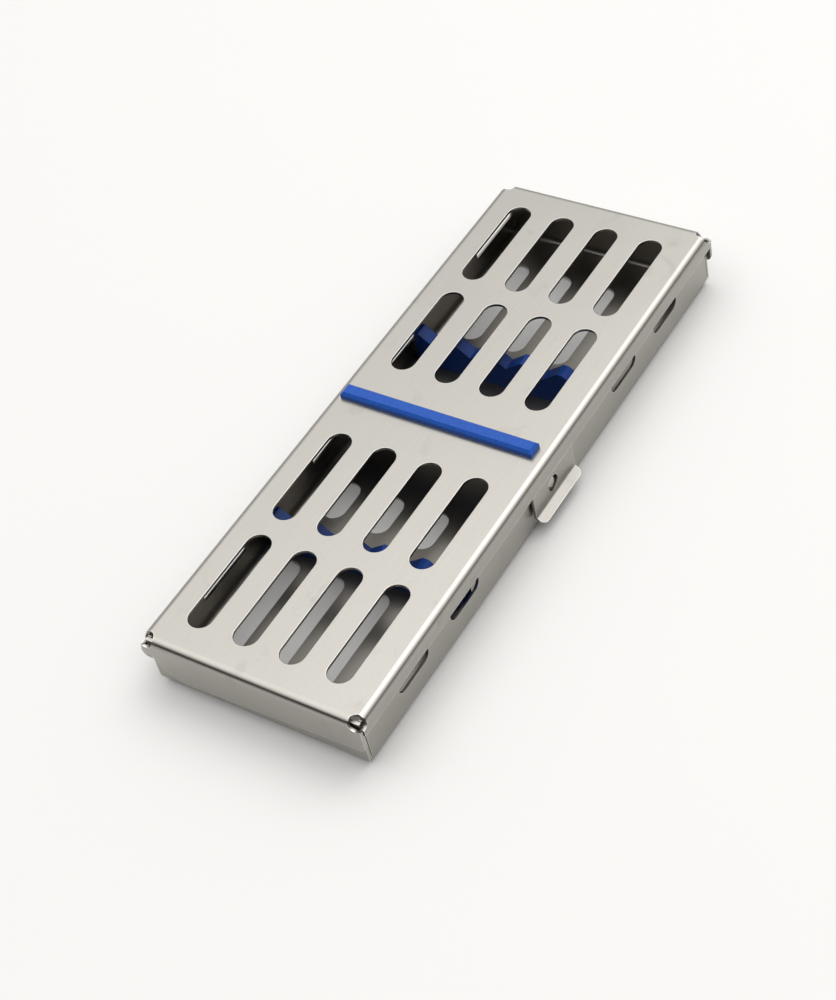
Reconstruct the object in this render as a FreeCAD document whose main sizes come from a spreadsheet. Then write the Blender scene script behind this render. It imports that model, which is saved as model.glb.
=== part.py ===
import FreeCAD, Part
import Sketcher
import math
import os
import re

# Sterilising instrument tray: a shallow folded sheet-steel base with two silicone racks, and a
# slotted lid that turns on a rear hinge pin and snaps shut with a sprung finger tab.
# Frame: millimetres, X along the length, Y across (latch at -Y, hinge at +Y), Z up.
# The origin is the centre of the footprint on the surface that the tray stands on.

SIZES = {
    # folded sheet
    "lid_length": 180.0,
    "lid_width": 64.6,
    "overall_height": 17.5,
    "sheet": 0.8,
    "lid_gap": 0.5,
    "rim_gap": 0.6,
    "lid_bend": 2.2,
    "base_bend": 2.4,
    "edge_break": 0.15,
    "blank_trim": 0.5,
    # lid flanges, as depths below the lid's top face
    "latch_flange_depth": 4.7,
    "hinge_flange_depth": 4.9,
    "end_flange_front_depth": 9.9,
    "end_flange_back_depth": 12.4,
    "end_flange_step_depth": 10.2,
    "end_flange_shallow_depth": 5.5,
    "end_flange_front_inset": 0.3,
    "end_flange_back_inset": 9.9,
    "end_flange_step_inset": 5.9,
    "end_flange_shallow_inset": 3.7,
    "end_flange_tail_inset": 1.1,
    "end_flange_rounding": 1.8,
    "flange_end_margin": 1.1,
    "corner_hole_radius": 1.95,
    "corner_hole_inset_x": 1.2,
    "corner_hole_inset_y": 1.9,
    "corner_hole_drop": 0.8,
    # slots in the lid and the floor
    "slot_length": 31.5,
    "slot_width": 6.9,
    "slot_pitch": 13.6,
    "slot_shift": 0.8,
    "lid_outer_row_inset": 24.2,
    "lid_inner_row": 28.5,
    "floor_outer_row_inset": 28.9,
    "floor_outer_slot_length": 32.4,
    "floor_inner_mid": -3.85,
    "floor_inner_row": 17.3,
    "floor_inner_slot_length": 13.1,
    # slots in the latch wall
    "wall_slot_mid": -1.5,
    "wall_slot_inner": 41.25,
    "wall_slot_outer": 64.95,
    "wall_slot_length": 13.5,
    "wall_slot_height": 5.0,
    "wall_slot_drop": 7.4,
    "seam_width": 0.3,
    "seam_inset": 0.95,
    "seam_foot": 3.0,
    # hinge
    "pin_radius": 1.3,
    "pin_clearance": 0.05,
    "pin_drop": 7.4,
    "pin_end_chamfer": 0.3,
    "wall_to_knuckle": 0.45,
    "curl_gap": 0.25,
    "step_gap": 0.3,
    "hinge_end_gap": 0.2,
    "hinge_free_end": 21.2,
    "near_knuckle": 20.5,
    "short_lid_knuckle": 14.0,
    "middle_knuckle": 32.0,
    "long_lid_knuckle": 44.0,
    "knuckle_gap": 2.0,
    "wide_knuckle_gap": 5.0,
    "back_wall_end_margin": 1.4,
    # latch
    "latch_x": -0.4,
    "tongue_width": 19.8,
    "tongue_drop": 12.5,
    "tongue_top_gap": 0.05,
    "tab_reach": 2.7,
    "tab_tilt": 32.0,
    "tab_bend": 1.2,
    "tab_rounding": 1.8,
    "latch_hole_radius": 2.3,
    "latch_hole_shift": -0.5,
    "latch_hole_drop": 8.3,
    "stud_radius": 1.75,
    "stud_height": 0.9,
    "stud_shank_radius": 0.9,
    "stud_tail_height": 0.5,
    "stud_rounding": 0.8,
    "stud_tail_rounding": 0.2,
    # silicone strip on the lid
    "strip_length": 57.6,
    "strip_width": 4.2,
    "strip_height": 2.0,
    "strip_bevel": 0.7,
    "strip_shift": 0.8,
    "pad_width": 5.0,
    "pad_height": 2.0,
    "stem_radius": 1.4,
    "stem_pitch": 20.0,
    "stem_clearance": 0.1,
    # silicone racks and their rails
    "rack_mid": -3.0,
    "rack_spacing": 72.0,
    "rack_thickness": 4.0,
    "rack_height": 11.0,
    "rack_end_gap": 1.5,
    "notch_pitch": 11.2,
    "notch_depth": 3.6,
    "notch_half_width": 4.8,
    "rail_sheet": 0.5,
    "rail_foot": 2.6,
    "rail_height": 4.5,
    "rail_clearance": 0.1,
    "rail_end_margin": 2.0,
}
NOTCHES = 5
COLUMNS = 4

# Formulas that several pieces share
BASE_LENGTH = "(lid_length - 2 * sheet - 2 * lid_gap)"
BASE_WIDTH = "(lid_width - 2 * sheet - 2 * lid_gap)"
BASE_HEIGHT = "(overall_height - sheet - rim_gap)"
PIN_Z = "(overall_height - pin_drop)"
BORE_RADIUS = "(pin_radius + pin_clearance)"
KNUCKLE_RADIUS = "(pin_radius + pin_clearance + sheet)"
PIN_Y = "(" + BASE_WIDTH + " / 2 - sheet + " + KNUCKLE_RADIUS + ")"
BACK_WALL_HEIGHT = "(" + PIN_Z + " - " + KNUCKLE_RADIUS + " - wall_to_knuckle)"
LATCH_FACE = "(-lid_width / 2)"
STUD_X = "(latch_x + latch_hole_shift)"
STUD_Z = "(overall_height - latch_hole_drop)"

doc = FreeCAD.newDocument("instrument_tray")
sheet = doc.addObject("Spreadsheet::Sheet", "sizes")
for row, (alias, size) in enumerate(SIZES.items(), start=1):
    sheet.set("A" + str(row), alias)
    sheet.set("B" + str(row), str(size))
    sheet.setAlias("B" + str(row), alias)
doc.recompute()


def number(formula):
    """The value of a formula of sheet names, in millimetres."""
    return float(sheet.evalExpression(formula))


def bind(item, prop, formula):
    """Drive a property of an object by a formula of sheet names."""
    item.setExpression(prop, re.sub(r"[a-z]\w*\b(?!\()", r"sizes.\g<0>", formula))


def place(item, x, y, z):
    """Drive an object's position by three formulas."""
    bind(item, "Placement.Base.x", x)
    bind(item, "Placement.Base.y", y)
    bind(item, "Placement.Base.z", z)


# ---------------------------------------------------------------- primitives and booleans

def box(name, low, high):
    """A block between two corners, each three formulas."""
    item = doc.addObject("Part::Box", name)
    for prop, a, b in zip(("Length", "Width", "Height"), low, high):
        bind(item, prop, "(" + b + ") - (" + a + ")")
    place(item, *low)
    return item


def rod(name, radius, axis, start, end, beside, z):
    """A cylinder parallel to X or Y, from start to end, at a place beside it and a height."""
    item = doc.addObject("Part::Cylinder", name)
    along_x = axis == "x"
    tip_over = FreeCAD.Vector(0, 1, 0) if along_x else FreeCAD.Vector(-1, 0, 0)
    item.Placement.Rotation = FreeCAD.Rotation(tip_over, 90)
    bind(item, "Radius", radius)
    bind(item, "Height", "(" + end + ") - (" + start + ")")
    if along_x:
        place(item, start, beside, z)
    else:
        place(item, beside, start, z)
    return item


def post(name, radius, x, y, low, high):
    """A cylinder parallel to Z."""
    item = doc.addObject("Part::Cylinder", name)
    bind(item, "Radius", radius)
    bind(item, "Height", "(" + high + ") - (" + low + ")")
    place(item, x, y, low)
    return item


def joined(name, items):
    item = doc.addObject("Part::MultiFuse", name)
    item.Shapes = items
    return item


def cut(name, base, tool):
    item = doc.addObject("Part::Cut", name)
    item.Base = base
    item.Tool = tool
    return item


# ---------------------------------------------------------------- sketches and features

def new_body(name):
    return doc.addObject("PartDesign::Body", name)


def origin_feature(body, role):
    return [item for item in body.Origin.OriginFeatures if item.Role == role][0]


def new_sketch(body, name, plane):
    sketch = body.newObject("Sketcher::SketchObject", name)
    sketch.AttachmentSupport = [(origin_feature(body, plane), "")]
    sketch.MapMode = "FlatFace"
    return sketch


def pin_point(sketch, line, end, formula_a, formula_b):
    """Hold one point of a sketch at two formulas from the sketch's origin."""
    for kind, formula in (("DistanceX", formula_a), ("DistanceY", formula_b)):
        rule = sketch.addConstraint(
            Sketcher.Constraint(kind, -1, 1, line, end, number(formula)))
        bind(sketch, "Constraints[" + str(rule) + "]", formula)


def outline(body, name, plane, corners):
    """A closed straight-sided sketch whose corners are pairs of formulas."""
    sketch = new_sketch(body, name, plane)
    points = [FreeCAD.Vector(number(a), number(b), 0) for a, b in corners]
    count = len(points)
    for i in range(count):
        sketch.addGeometry(Part.LineSegment(points[i], points[(i + 1) % count]), False)
    for i in range(count):
        sketch.addConstraint(Sketcher.Constraint("Coincident", i, 2, (i + 1) % count, 1))
    for i, (a, b) in enumerate(corners):
        pin_point(sketch, i, 1, a, b)
    return sketch


def oblong(body, name, plane, mid_a, mid_b, length, width):
    """A slot outline with round ends, its length along the sketch's first axis."""
    sketch = new_sketch(body, name, plane)
    reach = "((" + length + ") - (" + width + ")) / 2"
    right = mid_a + " + " + reach
    left = mid_a + " - " + reach
    radius = number("(" + width + ") / 2")
    ends = [FreeCAD.Vector(number(side), number(mid_b), 0) for side in (right, left)]
    up = FreeCAD.Vector(0, radius, 0)
    for centre, start in zip(ends, (-math.pi / 2, math.pi / 2)):
        circle = Part.Circle(centre, FreeCAD.Vector(0, 0, 1), radius)
        sketch.addGeometry(Part.ArcOfCircle(circle, start, start + math.pi), False)
    sketch.addGeometry(Part.LineSegment(ends[0] + up, ends[1] + up), False)
    sketch.addGeometry(Part.LineSegment(ends[1] - up, ends[0] - up), False)
    for arc, arc_end, line, line_end in ((0, 2, 2, 1), (1, 1, 2, 2), (1, 2, 3, 1), (0, 1, 3, 2)):
        sketch.addConstraint(Sketcher.Constraint("Tangent", arc, arc_end, line, line_end))
    pin_point(sketch, 0, 3, right, mid_b)
    pin_point(sketch, 1, 3, left, mid_b)
    rule = sketch.addConstraint(Sketcher.Constraint("Radius", 0, radius))
    bind(sketch, "Constraints[" + str(rule) + "]", "(" + width + ") / 2")
    sketch.addConstraint(Sketcher.Constraint("Equal", 0, 1))
    return sketch


def disc(body, name, plane, mid_a, mid_b, radius):
    """A circle sketch."""
    sketch = new_sketch(body, name, plane)
    centre = FreeCAD.Vector(number(mid_a), number(mid_b), 0)
    sketch.addGeometry(Part.Circle(centre, FreeCAD.Vector(0, 0, 1), number(radius)), False)
    pin_point(sketch, 0, 3, mid_a, mid_b)
    rule = sketch.addConstraint(Sketcher.Constraint("Radius", 0, number(radius)))
    bind(sketch, "Constraints[" + str(rule) + "]", radius)
    return sketch


def rectangle(low, high):
    return [low, (high[0], low[1]), high, (low[0], high[1])]


def pad(body, sketch, length, midplane=False):
    item = body.newObject("PartDesign::Pad", sketch.Name + "_pad")
    item.Profile = sketch
    item.Midplane = midplane
    bind(item, "Length", length)
    doc.recompute()
    return item


def pocket(body, sketch, toward_normal=False, midplane=False):
    """Cut a sketch right through the body, and check that the cut took something away."""
    volume = body.Shape.Volume
    item = body.newObject("PartDesign::Pocket", sketch.Name + "_cut")
    item.Profile = sketch
    item.Type = "ThroughAll"
    item.Midplane = midplane
    item.Reversed = toward_normal
    doc.recompute()
    if not body.Shape.Volume < volume - 0.001:
        raise RuntimeError(sketch.Name + " cuts nothing")
    return item


def repeat(body, feature, axis, step, count):
    """Repeat a feature along one of the body's axes."""
    item = body.newObject("PartDesign::LinearPattern", feature.Name + "_row")
    item.Originals = [feature]
    item.Direction = (origin_feature(body, axis), [""])
    item.Occurrences = count
    bind(item, "Length", "(" + step + ") * " + str(count - 1))
    body.Tip = item
    doc.recompute()
    return item


def dress(body, kind, size_name, formula, wanted):
    """Fillet or chamfer every edge of the body that the test accepts."""
    base = body.Tip
    edges = [
        "Edge" + str(i) for i, edge in enumerate(base.Shape.Edges, start=1) if wanted(edge)
    ]
    item = body.newObject("PartDesign::" + kind, body.Name + "_" + kind.lower())
    item.Base = (base, edges)
    bind(item, size_name, formula)
    doc.recompute()
    return item


def at_height(edge, z):
    return all(abs(vertex.Z - z) < 0.01 for vertex in edge.Vertexes)


def runs_along(edge, axis):
    ends = edge.Vertexes
    if len(ends) < 2:
        return False
    span = ends[1].Point - ends[0].Point
    return abs(getattr(span, axis)) > 0.999 * span.Length


def hollow(body, open_face_z):
    """Turn the body into a folded sheet, open at one level face."""
    base = body.Tip
    faces = [
        "Face" + str(i) for i, face in enumerate(base.Shape.Faces, start=1)
        if abs(face.BoundBox.ZMin - open_face_z) < 0.01 and face.BoundBox.ZLength < 0.01
    ]
    item = body.newObject("PartDesign::Thickness", body.Name + "_sheet")
    item.Base = (base, faces)
    item.Reversed = True
    bind(item, "Value", "sheet")
    doc.recompute()
    return item


# ---------------------------------------------------------------- base tray: folded pan

def folded_block(name, length, width, low, high):
    """A block centred on Z between two heights, as the outside of a folded box."""
    body = new_body(name)
    sides = rectangle(("-" + length + " / 2", low), (length + " / 2", high))
    pad(body, outline(body, name + "_side", "XZ_Plane", sides), width, midplane=True)
    return body


pan = folded_block("pan", BASE_LENGTH, BASE_WIDTH, "0 * sheet", BASE_HEIGHT)
dress(pan, "Fillet", "Radius", "base_bend", lambda edge: at_height(edge, 0))
hollow(pan, number(BASE_HEIGHT))

# Floor slots: long ones in the outer rows, short ones between the racks
FLOOR_OUTER_ROW = "(lid_length / 2 - floor_outer_row_inset - lid_gap - sheet)"
FLOOR_ROWS = {
    "floor_row_near": ("-" + FLOOR_OUTER_ROW, "floor_outer_slot_length"),
    "floor_row_mid_near": ("(floor_inner_mid - floor_inner_row)", "floor_inner_slot_length"),
    "floor_row_mid_far": ("(floor_inner_mid + floor_inner_row)", "floor_inner_slot_length"),
    "floor_row_far": (FLOOR_OUTER_ROW, "floor_outer_slot_length"),
}
FIRST_COLUMN = "slot_shift - slot_pitch * " + str((COLUMNS - 1) / 2)
for name, (mid, length) in FLOOR_ROWS.items():
    first = oblong(pan, name, "XY_Plane", mid, FIRST_COLUMN, length, "slot_width")
    repeat(pan, pocket(pan, first, toward_normal=True), "Y_Axis", "slot_pitch", COLUMNS)

# Latch-wall slots, in two mirrored pairs
for side, sign in (("near", " - "), ("far", " + ")):
    for rank in ("inner", "outer"):
        mid = "(wall_slot_mid" + sign + "wall_slot_" + rank + ")"
        window = oblong(pan, "wall_slot_" + side + "_" + rank, "XZ_Plane", mid,
                        "overall_height - wall_slot_drop", "wall_slot_length", "wall_slot_height")
        pocket(pan, window, toward_normal=True)

# The hole that the latch stud's shank passes through
pocket(pan, disc(pan, "stud_hole", "XZ_Plane", STUD_X, STUD_Z,
                 "stud_shank_radius"), toward_normal=True)

# Open corner seams where the long walls meet the end walls
for side, sign in (("near", "-"), ("far", "")):
    seam = sign + "(" + BASE_LENGTH + " / 2 - seam_inset)"
    slit = rectangle((seam + " - seam_width / 2", "seam_foot"),
                     (seam + " + seam_width / 2", BASE_HEIGHT + " + sheet"))
    pocket(pan, outline(pan, "seam_" + side, "XZ_Plane", slit), midplane=True)

# The back wall is low, and stands up only where it rolls round the pin
BACK_WALL_REACH = "(" + BASE_LENGTH + " / 2 - back_wall_end_margin)"
INNER_BACK = "(" + BASE_WIDTH + " / 2 - sheet)"
OUTER_BACK = "(" + BASE_WIDTH + " / 2)"
pan_cut = cut("pan_with_low_back", pan, box(
    "back_wall_cut",
    ("-" + BACK_WALL_REACH, INNER_BACK + " - sheet", BACK_WALL_HEIGHT),
    (BACK_WALL_REACH, OUTER_BACK + " + sheet", BASE_HEIGHT + " + sheet")))


def rolled_ring(name, start, end, slit_low, slit_high):
    """A knuckle's ring round the pin, open where the rolled edge stops short of its wall."""
    ring = cut(name + "_ring",
               rod(name + "_barrel", KNUCKLE_RADIUS, "x", start, end, PIN_Y, PIN_Z),
               rod(name + "_bore", BORE_RADIUS, "x", start + " - sheet", end + " + sheet",
                   PIN_Y, PIN_Z))
    slit = box(name + "_slit",
               (start + " - sheet", OUTER_BACK, slit_low),
               (end + " + sheet", OUTER_BACK + " + curl_gap", slit_high))
    return cut(name + "_roll", ring, slit)


# Knuckles in line from the near end of the hinge
NEAR_START = "(-" + BASE_LENGTH + " / 2 + hinge_end_gap)"
NEAR_END = "(" + NEAR_START + " + near_knuckle)"
SHORT_START = "(" + NEAR_END + " + knuckle_gap)"
SHORT_END = "(" + SHORT_START + " + short_lid_knuckle)"
MIDDLE_START = "(" + SHORT_END + " + knuckle_gap)"
MIDDLE_END = "(" + MIDDLE_START + " + middle_knuckle)"
LONG_START = "(" + MIDDLE_END + " + wide_knuckle_gap)"
LONG_END = "(" + LONG_START + " + long_lid_knuckle)"
FAR_START = "(" + LONG_END + " + wide_knuckle_gap)"
FAR_END = "(" + BASE_LENGTH + " / 2 - hinge_free_end)"

base_pieces = [pan_cut]
for name, start, end in (("base_knuckle_near", NEAR_START, NEAR_END),
                         ("base_knuckle_middle", MIDDLE_START, MIDDLE_END),
                         ("base_knuckle_far", FAR_START, FAR_END)):
    base_pieces.append(rolled_ring(name, start, end, PIN_Z + " - " + KNUCKLE_RADIUS + " - sheet",
                                   PIN_Z + " - " + BORE_RADIUS + " / 2"))
    base_pieces.append(box(name + "_neck",
                           (start, INNER_BACK, BACK_WALL_HEIGHT + " - sheet"),
                           (end, OUTER_BACK, PIN_Z + " - pin_end_chamfer")))
base_tray = joined("base_tray", base_pieces)

# ---------------------------------------------------------------- latch stud: riveted dome

stud = new_body("latch_stud")
profile = [
    ("0 * sheet", "-stud_height"),
    ("stud_radius", "-stud_height"),
    ("stud_radius", "0 * sheet"),
    ("stud_shank_radius", "0 * sheet"),
    ("stud_shank_radius", "sheet"),
    ("stud_radius", "sheet"),
    ("stud_radius", "sheet + stud_tail_height"),
    ("0 * sheet", "sheet + stud_tail_height"),
]
half = outline(stud, "stud_half", "XY_Plane", profile)
turned = stud.newObject("PartDesign::Revolution", "stud_turned")
turned.Profile = half
turned.ReferenceAxis = (half, ["V_Axis"])
turned.Angle = 360
doc.recompute()


def rim_at(edge, y):
    """True for the stud's full-width circle at one height along its axis."""
    return (abs(edge.BoundBox.XMax - number("stud_radius")) < 0.01
            and abs(edge.BoundBox.YMin - y) < 0.01 and abs(edge.BoundBox.YMax - y) < 0.01)


dress(stud, "Fillet", "Radius", "stud_rounding",
      lambda edge: rim_at(edge, -number("stud_height")))
dress(stud, "Fillet", "Radius", "stud_tail_rounding",
      lambda edge: rim_at(edge, number("sheet + stud_tail_height")))
place(stud, STUD_X, "-" + BASE_WIDTH + " / 2", STUD_Z)

# ---------------------------------------------------------------- hinge pin

pin = new_body("hinge_pin")
pad(pin, disc(pin, "pin_section", "YZ_Plane", "0 * sheet", "0 * sheet", "pin_radius"),
    FAR_END + " - " + NEAR_START)
dress(pin, "Chamfer", "Size", "pin_end_chamfer", lambda edge: edge.BoundBox.XLength < 0.01)
place(pin, NEAR_START, PIN_Y, PIN_Z)

# ---------------------------------------------------------------- racks and their rails

RACK_LENGTH = "(" + BASE_WIDTH + " - 2 * sheet - 2 * rack_end_gap)"
racks = []
for side, sign in (("near", " - "), ("far", " + ")):
    rack = new_body("rack_" + side)
    face = rectangle(("-" + RACK_LENGTH + " / 2", "0 * sheet"),
                     (RACK_LENGTH + " / 2", "rack_height"))
    pad(rack, outline(rack, "rack_face_" + side, "YZ_Plane", face), "rack_thickness",
        midplane=True)
    first_notch = "-notch_pitch * " + str((NOTCHES - 1) // 2)
    rise = "(notch_depth + sheet)"
    spread = "(notch_half_width * " + rise + " / notch_depth)"
    notch = [
        (first_notch, "rack_height - notch_depth"),
        (first_notch + " + " + spread, "rack_height + sheet"),
        (first_notch + " - " + spread, "rack_height + sheet"),
    ]
    repeat(rack, pocket(rack, outline(rack, "notch_" + side, "YZ_Plane", notch), midplane=True),
           "Y_Axis", "notch_pitch", NOTCHES)
    web = "(rail_sheet / 2 + rail_clearance)"
    foot = "(rail_foot + rail_clearance - rail_sheet / 2)"
    groove = [
        ("-" + web, "-sheet"),
        (foot, "-sheet"),
        (foot, "rail_sheet + rail_clearance"),
        (web, "rail_sheet + rail_clearance"),
        (web, "rail_height + rail_clearance"),
        ("-" + web, "rail_height + rail_clearance"),
    ]
    pocket(rack, outline(rack, "groove_" + side, "XZ_Plane", groove), midplane=True)
    rack_x = "rack_mid" + sign + "rack_spacing / 2"
    place(rack, rack_x, "0 * sheet", "sheet")

    rail = new_body("rail_" + side)
    angle = [
        ("-rail_sheet / 2", "0 * sheet"),
        ("rail_foot - rail_sheet / 2", "0 * sheet"),
        ("rail_foot - rail_sheet / 2", "rail_sheet"),
        ("rail_sheet / 2", "rail_sheet"),
        ("rail_sheet / 2", "rail_height"),
        ("-rail_sheet / 2", "rail_height"),
    ]
    pad(rail, outline(rail, "angle_" + side, "XZ_Plane", angle),
        RACK_LENGTH + " - 2 * rail_end_margin", midplane=True)
    place(rail, rack_x, "0 * sheet", "sheet")
    racks += [rack, rail]

# ---------------------------------------------------------------- lid shell: folded cover

UNDERSIDE = "(overall_height - sheet)"
BLANK_LOW = "(overall_height - end_flange_back_depth - blank_trim)"
cover = folded_block("cover", "lid_length", "lid_width", BLANK_LOW, "overall_height")
dress(cover, "Fillet", "Radius", "lid_bend",
      lambda edge: at_height(edge, number("overall_height")))
hollow(cover, number(BLANK_LOW))


def below_top(depth):
    return "overall_height - " + depth


# Lower outline of the flanges, seen along X: the end flanges hang deepest
half_width = "lid_width / 2"
skirt = [
    ("-lid_width", below_top("latch_flange_depth")),
    ("end_flange_front_inset - " + half_width, below_top("latch_flange_depth")),
    ("end_flange_front_inset - " + half_width, below_top("end_flange_front_depth")),
    (half_width + " - end_flange_back_inset", below_top("end_flange_back_depth")),
    (half_width + " - end_flange_step_inset", below_top("end_flange_step_depth")),
    (half_width + " - end_flange_shallow_inset", below_top("end_flange_shallow_depth")),
    (half_width + " - end_flange_tail_inset", below_top("end_flange_shallow_depth")),
    (half_width + " - end_flange_tail_inset", below_top("hinge_flange_depth")),
    ("lid_width", below_top("hinge_flange_depth")),
    ("lid_width", "-sheet"),
    ("-lid_width", "-sheet"),
]
pocket(cover, outline(cover, "skirt", "YZ_Plane", skirt), midplane=True)
between_ends = rectangle(
    ("sheet - lid_length / 2", "-sheet"),
    ("lid_length / 2 - sheet", below_top("latch_flange_depth")))
pocket(cover, outline(cover, "latch_flange_edge", "XZ_Plane", between_ends), toward_normal=True)
soft_corners = [
    (number("end_flange_front_inset - lid_width / 2"),
     number(below_top("end_flange_front_depth"))),
    (number("lid_width / 2 - end_flange_back_inset"), number(below_top("end_flange_back_depth"))),
    (number("lid_width / 2 - end_flange_step_inset"), number(below_top("end_flange_step_depth"))),
    (number("lid_width / 2 - end_flange_shallow_inset"),
     number(below_top("end_flange_shallow_depth"))),
]
dress(cover, "Fillet", "Radius", "end_flange_rounding",
      lambda edge: runs_along(edge, "x") and any(
          math.hypot(edge.Vertexes[0].Y - y, edge.Vertexes[0].Z - z) < 0.05
          for y, z in soft_corners))

# Sixteen slots: four rows of four
LID_ROWS = {
    "lid_row_near_outer": "-(lid_length / 2 - lid_outer_row_inset)",
    "lid_row_near_inner": "-lid_inner_row",
    "lid_row_far_inner": "lid_inner_row",
    "lid_row_far_outer": "(lid_length / 2 - lid_outer_row_inset)",
}
for name, mid in LID_ROWS.items():
    first = oblong(cover, name, "XY_Plane", mid, FIRST_COLUMN, "slot_length", "slot_width")
    repeat(cover, pocket(cover, first, toward_normal=True), "Y_Axis", "slot_pitch", COLUMNS)

# Round holes that the silicone strip's stems are pulled through
stem_hole = disc(cover, "stem_hole", "XY_Plane", "0 * sheet", "strip_shift - stem_pitch",
                 "stem_radius + stem_clearance")
repeat(cover, pocket(cover, stem_hole, toward_normal=True), "Y_Axis", "stem_pitch", 3)

# Punched edges on the lid's top face are rounded off
dress(cover, "Fillet", "Radius", "edge_break",
      lambda edge: at_height(edge, number("overall_height"))
      and abs(edge.BoundBox.XMax) < number("lid_length / 2 - lid_bend") - 0.1
      and abs(edge.BoundBox.YMax) < number("lid_width / 2 - lid_bend") - 0.1)

# Corner reliefs: a round hole on the fold lines, and open seams beside the flanges


def mirrored_box(name, signs, low, high):
    """A full-height block in one of the four corners, given for the +X +Y corner."""
    spans = []
    for sign, a, b in zip(signs, low, high):
        spans.append((a, b) if sign > 0 else ("-" + b, "-" + a))
    return box(name, (spans[0][0], spans[1][0], "0 * sheet"),
               (spans[0][1], spans[1][1], "overall_height + sheet"))


FLANGE_END = "(lid_length / 2 - flange_end_margin)"
OUTSIDE_X = "(lid_length / 2 + sheet)"
OUTSIDE_Y = "(lid_width / 2 + sheet)"
HOLE_Z = "overall_height - corner_hole_drop"


def outward(sign, breadth):
    """From where a fold starts to outside its flange, as the lower end and the upper end."""
    fold, outside = breadth + " / 2 - lid_bend", breadth + " / 2 + sheet"
    return (fold, outside) if sign > 0 else ("-(" + outside + ")", "-(" + fold + ")")


corner_cuts = []
for end, along in (("near", -1), ("far", 1)):
    for side, across in (("latch", -1), ("hinge", 1)):
        name = "corner_" + end + "_" + side
        hole_x = str(along) + " * (lid_length / 2 - corner_hole_inset_x)"
        hole_y = str(across) + " * (lid_width / 2 - corner_hole_inset_y)"
        corner_cuts.append(post(name + "_hole_in_top", "corner_hole_radius", hole_x, hole_y,
                                HOLE_Z, "overall_height + sheet"))
        corner_cuts.append(rod(
            name + "_hole_in_end", "corner_hole_radius", "x",
            *outward(along, "lid_length"), hole_y, HOLE_Z))
        corner_cuts.append(rod(
            name + "_hole_in_side", "corner_hole_radius", "y",
            *outward(across, "lid_width"), hole_x, HOLE_Z))
        corner_cuts.append(mirrored_box(
            name + "_seam", (along, across),
            (FLANGE_END, "(lid_width / 2 - sheet - curl_gap)"),
            ("(lid_length / 2 - sheet)", OUTSIDE_Y)))
        corner_cuts.append(mirrored_box(
            name + "_tip", (along, across),
            (FLANGE_END, "(lid_width / 2 - end_flange_front_inset)"), (OUTSIDE_X, OUTSIDE_Y)))
cover_cut = cut("cover_with_open_corners", cover, joined("corner_reliefs", corner_cuts))

# Two knuckles step in from the hinge flange and roll round the pin from above
lid_pieces = [cover_cut]
STEP_LOW = "(" + PIN_Z + " + " + KNUCKLE_RADIUS + " + step_gap)"
for name, start, end in (("lid_knuckle_short", SHORT_START, SHORT_END),
                         ("lid_knuckle_long", LONG_START, LONG_END)):
    lid_pieces.append(rolled_ring(name, start, end, PIN_Z + " + " + BORE_RADIUS + " / 2",
                                  PIN_Z + " + " + KNUCKLE_RADIUS + " + sheet / 8"))
    lid_pieces.append(box(name + "_neck",
                          (start, INNER_BACK, PIN_Z + " + pin_end_chamfer"),
                          (end, OUTER_BACK, STEP_LOW + " + sheet")))
    lid_pieces.append(box(name + "_step",
                          (start, INNER_BACK, STEP_LOW),
                          (end, "lid_width / 2", STEP_LOW + " + sheet")))
lid_shell = joined("lid_shell", lid_pieces)

# ---------------------------------------------------------------- latch tongue: sprung tab

TONGUE_TOP = "(overall_height - latch_flange_depth - tongue_top_gap)"
TONGUE_FOOT = "(overall_height - tongue_drop)"
tongue = new_body("latch_tongue")
TAB_ROOT = "(" + TONGUE_FOOT + " + sheet * tan(45 - tab_tilt / 2))"
TAB_EDGE_Y = "(" + LATCH_FACE + " - tab_reach * cos(tab_tilt))"
TAB_EDGE_Z = "(" + TAB_ROOT + " - tab_reach * sin(tab_tilt))"
TAB_LIP_Y = "(" + TAB_EDGE_Y + " + sheet * sin(tab_tilt))"
bent = [
    (LATCH_FACE, TONGUE_TOP),
    (LATCH_FACE + " + sheet", TONGUE_TOP),
    (LATCH_FACE + " + sheet", TONGUE_FOOT),
    (TAB_LIP_Y, TAB_EDGE_Z + " - sheet * cos(tab_tilt)"),
    (TAB_EDGE_Y, TAB_EDGE_Z),
    (LATCH_FACE, TAB_ROOT),
]
pad(tongue, outline(tongue, "tongue_section", "YZ_Plane", bent), "tongue_width", midplane=True)
dress(tongue, "Fillet", "Radius", "tab_bend",
      lambda edge: runs_along(edge, "x")
      and abs(edge.Vertexes[0].Y - number(LATCH_FACE + " + sheet")) < 0.01
      and at_height(edge, number(TONGUE_FOOT)))
dress(tongue, "Fillet", "Radius", "tab_bend - sheet",
      lambda edge: runs_along(edge, "x")
      and abs(edge.Vertexes[0].Y - number(LATCH_FACE)) < 0.01
      and at_height(edge, number(TAB_ROOT)))
dress(tongue, "Fillet", "Radius", "tab_rounding",
      lambda edge: not runs_along(edge, "x")
      and edge.BoundBox.YMax < number(TAB_LIP_Y) + 0.01)
pocket(tongue, disc(tongue, "latch_hole", "XZ_Plane", "latch_hole_shift", STUD_Z,
                    "latch_hole_radius"), toward_normal=True)
place(tongue, "latch_x", "0 * sheet", "0 * sheet")

# ---------------------------------------------------------------- silicone strip on the lid

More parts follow.
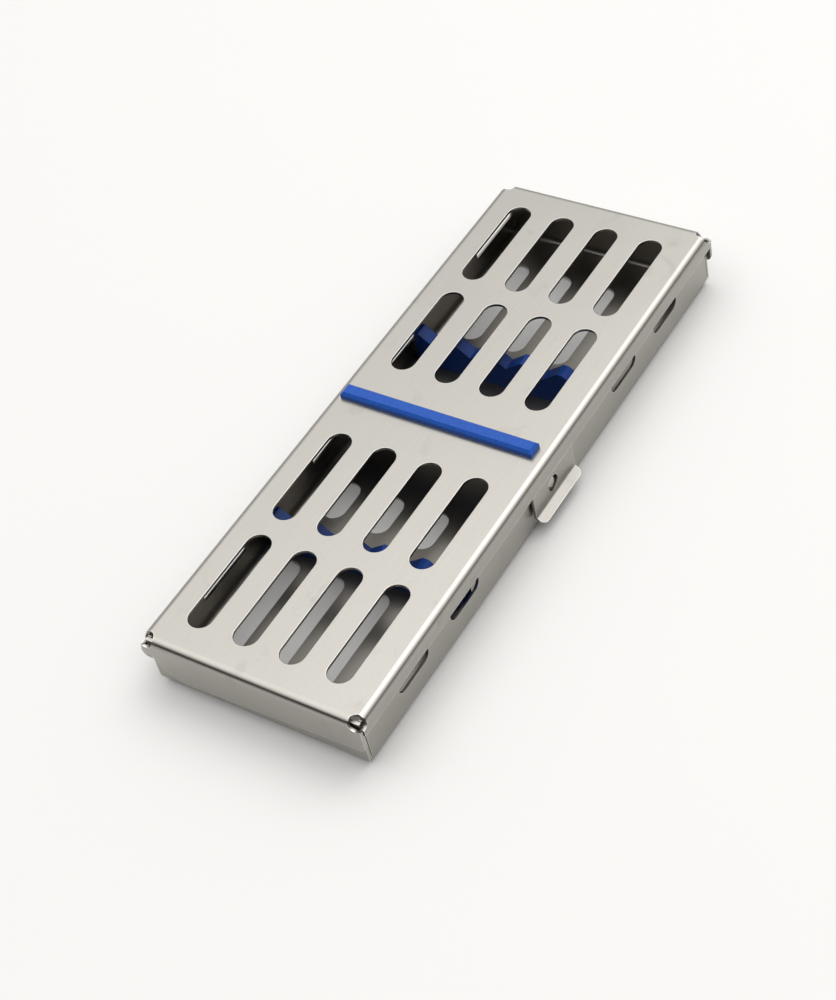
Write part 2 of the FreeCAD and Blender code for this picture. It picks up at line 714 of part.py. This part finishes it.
strip_parts = []
bar = new_body("strip_bar")
plan = rectangle(("-strip_width / 2", "strip_shift - strip_length / 2"),
                 ("strip_width / 2", "strip_shift + strip_length / 2"))
pad(bar, outline(bar, "bar_plan", "XY_Plane", plan), "strip_height")
dress(bar, "Chamfer", "Size", "strip_bevel",
      lambda edge: at_height(edge, number("strip_height")))
place(bar, "0 * sheet", "0 * sheet", "overall_height")
strip_parts.append(bar)
strip_parts.append(box(
    "strip_pad",
    ("-pad_width / 2", "strip_shift - strip_length / 2 + strip_height",
     UNDERSIDE + " - pad_height"),
    ("pad_width / 2", "strip_shift + strip_length / 2 - strip_height", UNDERSIDE)))
for i in (-1, 0, 1):
    strip_parts.append(post(
        "strip_stem_" + str(i + 2), "stem_radius", "0 * sheet",
        "strip_shift + stem_pitch * " + str(i), UNDERSIDE + " - pad_height / 2",
        "overall_height + strip_height / 2"))
strip = joined("lid_silicone_strip", strip_parts)

# ---------------------------------------------------------------- check and write the pieces

NODES = [base_tray, stud, pin] + racks + [lid_shell, tongue, strip]
doc.recompute()
for item in doc.Objects:
    if "Invalid" in item.State or "Error" in item.State:
        raise RuntimeError(item.Name + " did not build: " + str(item.State))
os.makedirs("parts", exist_ok=True)
for node in NODES:
    node.Label = node.Name
    shape = node.Shape
    if shape.isNull() or not shape.isValid():
        raise RuntimeError(node.Name + " has no valid shape")
    if len(shape.Solids) != 1:
        raise RuntimeError(node.Name + " is " + str(len(shape.Solids)) + " solids")
for node in NODES:
    node.Shape.exportStep(os.path.join("parts", node.Label + ".step"))
    box_of = node.Shape.BoundBox
    print(node.Label, "volume", round(node.Shape.Volume, 1), "x", round(box_of.XMin, 2),
          round(box_of.XMax, 2), "y", round(box_of.YMin, 2), round(box_of.YMax, 2), "z",
          round(box_of.ZMin, 2), round(box_of.ZMax, 2))
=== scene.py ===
import bmesh
import bpy
from mathutils import Matrix, Vector

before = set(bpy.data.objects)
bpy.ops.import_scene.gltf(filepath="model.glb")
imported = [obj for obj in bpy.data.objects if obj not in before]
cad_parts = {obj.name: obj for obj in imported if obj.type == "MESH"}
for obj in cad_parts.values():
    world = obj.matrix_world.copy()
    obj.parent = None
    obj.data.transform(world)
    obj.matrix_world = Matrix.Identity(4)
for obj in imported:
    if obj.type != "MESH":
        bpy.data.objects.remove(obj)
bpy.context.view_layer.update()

# Camera: a long lens looking down at the latch side and the near end, rolled so that the tray
# runs steeply across the picture. Its place is in the tray's own frame.

MM = 0.001
CAMERA_PLACE = Vector((-286.3, -244.3, 388.0)) * MM
CAMERA_RIGHT = Vector((0.51393, -0.84029, -0.17262))
CAMERA_FORWARD = Vector((0.51114, 0.46157, -0.72505))
LENS_MM = 74.43
SENSOR_MM = 36.0
CLIP_START = 10 * MM

camera_data = bpy.data.cameras.new("camera")
camera_data.sensor_width = SENSOR_MM
camera_data.lens = LENS_MM
camera_data.clip_start = CLIP_START
camera_data.dof.use_dof = False
camera = bpy.data.objects.new("camera", camera_data)
bpy.context.scene.collection.objects.link(camera)
back = -CAMERA_FORWARD.normalized()
right = (CAMERA_RIGHT - CAMERA_RIGHT.dot(back) * back).normalized()
up = back.cross(right)
turn = Matrix((right, up, back)).transposed().to_4x4()
camera.matrix_world = Matrix.Translation(CAMERA_PLACE) @ turn
bpy.context.scene.camera = camera
bpy.context.scene.view_settings.view_transform = "Standard"

# Floor: a plain pale table top, wide enough for every view.
# Painted board: even and matt, so that it takes only soft shadows.


def linear(hex_colour):
    """An sRGB hex colour as linear red, green, blue and full alpha."""
    channels = [int(hex_colour[i:i + 2], 16) / 255 for i in (1, 3, 5)]
    return tuple(c / 12.92 if c <= 0.04045 else ((c + 0.055) / 1.055) ** 2.4
                 for c in channels) + (1.0,)


def add_node(tree, kind, settings=None, links=None):
    """Add a shader node, set its properties or sockets by name, and link its inputs."""
    node = tree.nodes.new(kind)
    for name, value in (settings or {}).items():
        if name in node.inputs:
            node.inputs[name].default_value = value
        else:
            setattr(node, name, value)
    for name, source in (links or {}).items():
        tree.links.new(source, node.inputs[name])
    return node


def new_material(name):
    """An empty node material; returns it with its tree and output node."""
    material = bpy.data.materials.new(name)
    material.use_nodes = True
    material.node_tree.nodes.clear()
    output = add_node(material.node_tree, "ShaderNodeOutputMaterial")
    return material, material.node_tree, output


def set_ramp(ramp, *stops):
    """Fill a colour ramp with (position, linear colour) stops."""
    elements = ramp.color_ramp.elements
    while len(elements) < len(stops):
        elements.new(0.5)
    for element, (position, colour) in zip(elements, stops):
        element.position = position
        element.color = colour


FLOOR_REACH = 1600 * MM
FLOOR_DROP = 0.2 * MM
BOARD_COLOUR = "#C6C5C3"
BOARD_ROUGHNESS = 0.7

pale_board, tree, output = new_material("painted_board")
shader = add_node(tree, "ShaderNodeBsdfPrincipled", {
    "Base Color": linear(BOARD_COLOUR),
    "Roughness": BOARD_ROUGHNESS,
})
tree.links.new(shader.outputs["BSDF"], output.inputs["Surface"])

floor_mesh = bpy.data.meshes.new("floor")
plate = bmesh.new()
bmesh.ops.create_grid(plate, x_segments=1, y_segments=1, size=FLOOR_REACH)
plate.to_mesh(floor_mesh)
plate.free()
floor = bpy.data.objects.new("floor", floor_mesh)
floor_mesh.materials.append(pale_board)
bpy.context.scene.collection.objects.link(floor)
floor.location.z = -FLOOR_DROP

# Light: a pale room, bright overhead, falling off toward the horizon and nearly dark low on the
# near side. The lid mirrors the bright part, the walls mirror the table. One weak square panel
# hangs high beyond the far end.

ROOM_STRENGTH = 2.2
ROOM_LEVELS = ((0.0, 0.12), (0.30, 0.36), (0.58, 0.44), (0.80, 1.0), (1.0, 1.0))
NEAR_FROM, NEAR_TO = -0.2, -0.7
LOW_FROM, LOW_TO = 0.68, 0.45
LOW_SHARE = 0.95
PANEL_PLACE = Vector((620, -120, 1050)) * MM
PANEL_SIZE = 900 * MM
PANEL_WATTS = 4.0


def grey(level):
    """A linear grey."""
    return (level, level, level, 1.0)


def math_node(tree, operation, *terms):
    """A math node on numbers and outputs; returns its output."""
    node = add_node(tree, "ShaderNodeMath", {"operation": operation})
    for socket, term in zip(node.inputs, terms):
        if isinstance(term, bpy.types.NodeSocket):
            tree.links.new(term, socket)
        else:
            socket.default_value = term
    return node.outputs["Value"]


world = bpy.data.worlds.new("studio")
bpy.context.scene.world = world
world.use_nodes = True
tree = world.node_tree
tree.nodes.clear()
gaze = add_node(tree, "ShaderNodeTexCoord")
axes = add_node(tree, "ShaderNodeSeparateXYZ", links={"Vector": gaze.outputs["Generated"]})
fall_off = add_node(tree, "ShaderNodeValToRGB", links={"Fac": axes.outputs["Z"]})
set_ramp(fall_off, *((height, grey(level)) for height, level in ROOM_LEVELS))
near_side = add_node(tree, "ShaderNodeMapRange", {
    "interpolation_type": "SMOOTHSTEP",
    "From Min": NEAR_FROM, "From Max": NEAR_TO, "To Min": 0.0, "To Max": ROOM_STRENGTH,
}, {"Value": axes.outputs["X"]})
low_down = add_node(tree, "ShaderNodeMapRange", {
    "interpolation_type": "SMOOTHSTEP",
    "From Min": LOW_FROM, "From Max": LOW_TO, "To Min": 0.0, "To Max": LOW_SHARE,
}, {"Value": axes.outputs["Z"]})
dark_corner = math_node(tree, "MULTIPLY", near_side.outputs["Result"], low_down.outputs["Result"])
room = add_node(tree, "ShaderNodeBackground", links={
    "Color": fall_off.outputs["Color"],
    "Strength": math_node(tree, "SUBTRACT", ROOM_STRENGTH, dark_corner),
})
world_output = add_node(tree, "ShaderNodeOutputWorld")
tree.links.new(room.outputs["Background"], world_output.inputs["Surface"])

panel_data = bpy.data.lights.new("panel_over", "AREA")
panel_data.shape = "SQUARE"
panel_data.size = PANEL_SIZE
panel_data.energy = PANEL_WATTS
panel = bpy.data.objects.new("panel_over", panel_data)
bpy.context.scene.collection.objects.link(panel)
panel.location = PANEL_PLACE
panel.rotation_euler = (-PANEL_PLACE).to_track_quat("-Z", "Y").to_euler()

# Folded sheet: 0.8 mm austenitic stainless steel, belt-ground on its show side before it is punched
# and folded, then freed of burrs and degreased. Outside it is a satin, slightly warm grey with a
# fine grain, wiped clouds and faint smudges, and a painted highlight along its edges; inside it is
# painted a darker grey as painted shade.

GRAIN_WIDTH = 0.22 * MM
GRAIN_LENGTH = 14 * MM
CLOUD_SIZE = 30 * MM
SMUDGE_SIZE = 11 * MM
SPECK_SIZE = 0.8 * MM
EDGE_WIDTH = 0.3 * MM
GRAIN_COLOURS = ("#A4A19B", "#A9A6A0")
SPECK_COLOUR, SPECK_SHARE = "#7E7B75", 0.10
SMUDGE_COLOUR, SMUDGE_SHARE = "#98948D", 0.7
# Painted highlight: the edge colour is laid on the edges that the bevel finds.
EDGE_HIGHLIGHT_COLOUR, EDGE_HIGHLIGHT_SHARE = "#EFECE6", 0.8
# Painted shade: the inside colour darkens the faces inside the box.
INSIDE_SHADE_COLOUR = "#817D77"
SATIN_LOW, SATIN_HIGH = 0.29, 0.37
GRAIN_BUMP = 0.03
GRAIN_DEPTH = 0.01 * MM
MIX_UNDER, MIX_OVER, MIX_RESULT = 6, 7, 2


def blend(tree, factor, under, over):
    """One colour laid over another by a factor; each is an output or a colour.

    The mix node's colour sockets share their names with others, so they are picked by number.
    """
    node = add_node(tree, "ShaderNodeMix", {"data_type": "RGBA"}, {"Factor": factor})
    for socket, colour in ((node.inputs[MIX_UNDER], under), (node.inputs[MIX_OVER], over)):
        if isinstance(colour, bpy.types.NodeSocket):
            tree.links.new(colour, socket)
        else:
            socket.default_value = colour
    return node.outputs[MIX_RESULT]


def sheet_steel(name, half_length, half_width, low, high):
    """Ground sheet with a painted highlight on its edges and painted shade, a darker grey, on every
    point inside a box given by two half sizes and two heights.
    """
    material, tree, output = new_material(name)
    place = add_node(tree, "ShaderNodeTexCoord")
    stretch = add_node(tree, "ShaderNodeMapping", {
        "Scale": (1 / GRAIN_LENGTH, 1 / GRAIN_WIDTH, 1 / GRAIN_WIDTH),
    }, {"Vector": place.outputs["Object"]})
    grain = add_node(tree, "ShaderNodeTexNoise", {
        "Scale": 1.0, "Detail": 3.0, "Roughness": 0.6,
    }, {"Vector": stretch.outputs["Vector"]})
    cloud = add_node(tree, "ShaderNodeTexNoise", {
        "Scale": 1 / CLOUD_SIZE, "Detail": 4.0, "Roughness": 0.55,
    }, {"Vector": place.outputs["Object"]})
    speck = add_node(tree, "ShaderNodeTexNoise", {
        "Scale": 1 / SPECK_SIZE, "Detail": 2.0, "Roughness": 0.6,
    }, {"Vector": place.outputs["Object"]})
    smudge = add_node(tree, "ShaderNodeTexNoise", {
        "Scale": 1 / SMUDGE_SIZE, "Detail": 5.0, "Roughness": 0.62, "Distortion": 0.6,
    }, {"Vector": place.outputs["Object"]})
    smudge_edge = add_node(tree, "ShaderNodeMapRange", {
        "From Min": 0.60, "From Max": 0.74, "To Min": 0.0, "To Max": SMUDGE_SHARE,
    }, {"Value": smudge.outputs["Fac"]})

    brushed = add_node(tree, "ShaderNodeValToRGB", links={"Fac": grain.outputs["Fac"]})
    dark_grain, pale_grain = GRAIN_COLOURS
    set_ramp(brushed, (0.25, linear(dark_grain)), (0.75, linear(pale_grain)))
    mottled = blend(tree, math_node(tree, "MULTIPLY", speck.outputs["Fac"], SPECK_SHARE),
                    brushed.outputs["Color"], linear(SPECK_COLOUR))
    wiped = blend(tree, smudge_edge.outputs["Result"], mottled, linear(SMUDGE_COLOUR))

    # Painted highlight: where the bevel normal turns away from the face normal, the colour goes
    # toward a near-white grey.
    surface = add_node(tree, "ShaderNodeNewGeometry")
    softened = add_node(tree, "ShaderNodeBevel", {"Radius": EDGE_WIDTH, "samples": 6})
    agreement = add_node(tree, "ShaderNodeVectorMath", {"operation": "DOT_PRODUCT"})
    tree.links.new(surface.outputs["Normal"], agreement.inputs[0])
    tree.links.new(softened.outputs["Normal"], agreement.inputs[1])
    edge = add_node(tree, "ShaderNodeMapRange", {
        "From Min": 0.995, "From Max": 0.90, "To Min": 0.0, "To Max": EDGE_HIGHLIGHT_SHARE,
    }, {"Value": agreement.outputs["Value"]})
    with_edge_highlight = blend(tree, edge.outputs["Result"], wiped, linear(EDGE_HIGHLIGHT_COLOUR))

    # Painted shade: every point inside the box is painted a darker grey.
    spot = add_node(tree, "ShaderNodeSeparateXYZ", links={"Vector": place.outputs["Object"]})
    x_inside = math_node(tree, "LESS_THAN",
                         math_node(tree, "ABSOLUTE", spot.outputs["X"]), half_length)
    y_inside = math_node(tree, "LESS_THAN",
                         math_node(tree, "ABSOLUTE", spot.outputs["Y"]), half_width)
    z_inside = math_node(tree, "MULTIPLY",
                         math_node(tree, "GREATER_THAN", spot.outputs["Z"], low),
                         math_node(tree, "LESS_THAN", spot.outputs["Z"], high))
    inside = math_node(tree, "MULTIPLY", math_node(tree, "MULTIPLY", x_inside, y_inside),
                       z_inside)
    colour = blend(tree, inside, with_edge_highlight, linear(INSIDE_SHADE_COLOUR))
    rough = add_node(tree, "ShaderNodeMapRange", {
        "From Min": 0.3, "From Max": 0.7, "To Min": SATIN_LOW, "To Max": SATIN_HIGH,
    }, {"Value": cloud.outputs["Fac"]})
    bump = add_node(tree, "ShaderNodeBump", {
        "Strength": GRAIN_BUMP, "Distance": GRAIN_DEPTH,
    }, {"Height": grain.outputs["Fac"]})
    shader = add_node(tree, "ShaderNodeBsdfPrincipled", {
        "Metallic": 1.0,
    }, {
        "Base Color": colour,
        "Roughness": rough.outputs["Result"],
        "Normal": bump.outputs["Normal"],
    })
    tree.links.new(shader.outputs["BSDF"], output.inputs["Surface"])
    return material


def dress_node(name, material):
    """Give a carried-over node its finish."""
    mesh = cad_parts[name].data
    mesh.materials.clear()
    mesh.materials.append(material)


BASE_INSIDE = (88.3 * MM, 30.6 * MM, 0.4 * MM, 15.9 * MM)
LID_INSIDE = (89.6 * MM, 31.9 * MM, 0.0, 16.9 * MM)

base_steel = sheet_steel("brushed_stainless_base", *BASE_INSIDE)
lid_steel = sheet_steel("brushed_stainless_lid", *LID_INSIDE)
for name, material in (("base_tray", base_steel), ("lid_shell", lid_steel),
                       ("latch_tongue", lid_steel), ("rail_near", base_steel),
                       ("rail_far", base_steel)):
    dress_node(name, material)

# Pin and stud: drawn stainless wire and a cold-headed rivet, tumbled bright, so they mirror the
# room in small sharp lights.

BRIGHT_COLOUR = "#B9B6B0"
SCUFF_SIZE = 1.5 * MM
BRIGHT_LOW, BRIGHT_HIGH = 0.12, 0.22

polished_stainless, tree, output = new_material("polished_stainless")
place = add_node(tree, "ShaderNodeTexCoord")
scuff = add_node(tree, "ShaderNodeTexNoise", {
    "Scale": 1 / SCUFF_SIZE, "Detail": 2.0,
}, {"Vector": place.outputs["Object"]})
rough = add_node(tree, "ShaderNodeMapRange", {
    "From Min": 0.3, "From Max": 0.7, "To Min": BRIGHT_LOW, "To Max": BRIGHT_HIGH,
}, {"Value": scuff.outputs["Fac"]})
shader = add_node(tree, "ShaderNodeBsdfPrincipled", {
    "Metallic": 1.0,
    "Base Color": linear(BRIGHT_COLOUR),
}, {"Roughness": rough.outputs["Result"]})
tree.links.new(shader.outputs["BSDF"], output.inputs["Surface"])
for name in ("hinge_pin", "latch_stud"):
    dress_node(name, polished_stainless)

# Silicone: blue, compression moulded in a satin tool, opaque, with a soft low sheen. The racks are
# painted a deeper blue than the strip on the lid, as painted shade for the shade they sit in.

STRIP_BLUES = ("#083F8D", "#0B4598")
# Painted shade: the rack blues are darker copies of the strip's blue.
RACK_SHADED_BLUES = ("#052C6B", "#073275")
SKIN_SIZE = 0.9 * MM
SKIN_DEPTH = 0.05 * MM
SKIN_BUMP = 0.25
SHEEN_ROUGHNESS = 0.42
SHEEN_LEVEL = 0.35
SILICONE_IOR = 1.41


def silicone(name, dark, light):
    """Satin silicone between two close blues."""
    material, tree, output = new_material(name)
    place = add_node(tree, "ShaderNodeTexCoord")
    skin = add_node(tree, "ShaderNodeTexNoise", {
        "Scale": 1 / SKIN_SIZE, "Detail": 2.0,
    }, {"Vector": place.outputs["Object"]})
    tint = add_node(tree, "ShaderNodeValToRGB", links={"Fac": skin.outputs["Fac"]})
    set_ramp(tint, (0.35, linear(dark)), (0.65, linear(light)))
    bump = add_node(tree, "ShaderNodeBump", {
        "Strength": SKIN_BUMP, "Distance": SKIN_DEPTH,
    }, {"Height": skin.outputs["Fac"]})
    shader = add_node(tree, "ShaderNodeBsdfPrincipled", {
        "Roughness": SHEEN_ROUGHNESS,
        "IOR": SILICONE_IOR,
        "Specular IOR Level": SHEEN_LEVEL,
    }, {
        "Base Color": tint.outputs["Color"],
        "Normal": bump.outputs["Normal"],
    })
    tree.links.new(shader.outputs["BSDF"], output.inputs["Surface"])
    return material


strip_silicone = silicone("blue_silicone", *STRIP_BLUES)
# Painted shade: the racks get the darker copy of the blue.
rack_shaded_silicone = silicone("shaded_blue_silicone", *RACK_SHADED_BLUES)
for name, material in (("rack_near", rack_shaded_silicone), ("rack_far", rack_shaded_silicone),
                       ("lid_silicone_strip", strip_silicone)):
    dress_node(name, material)
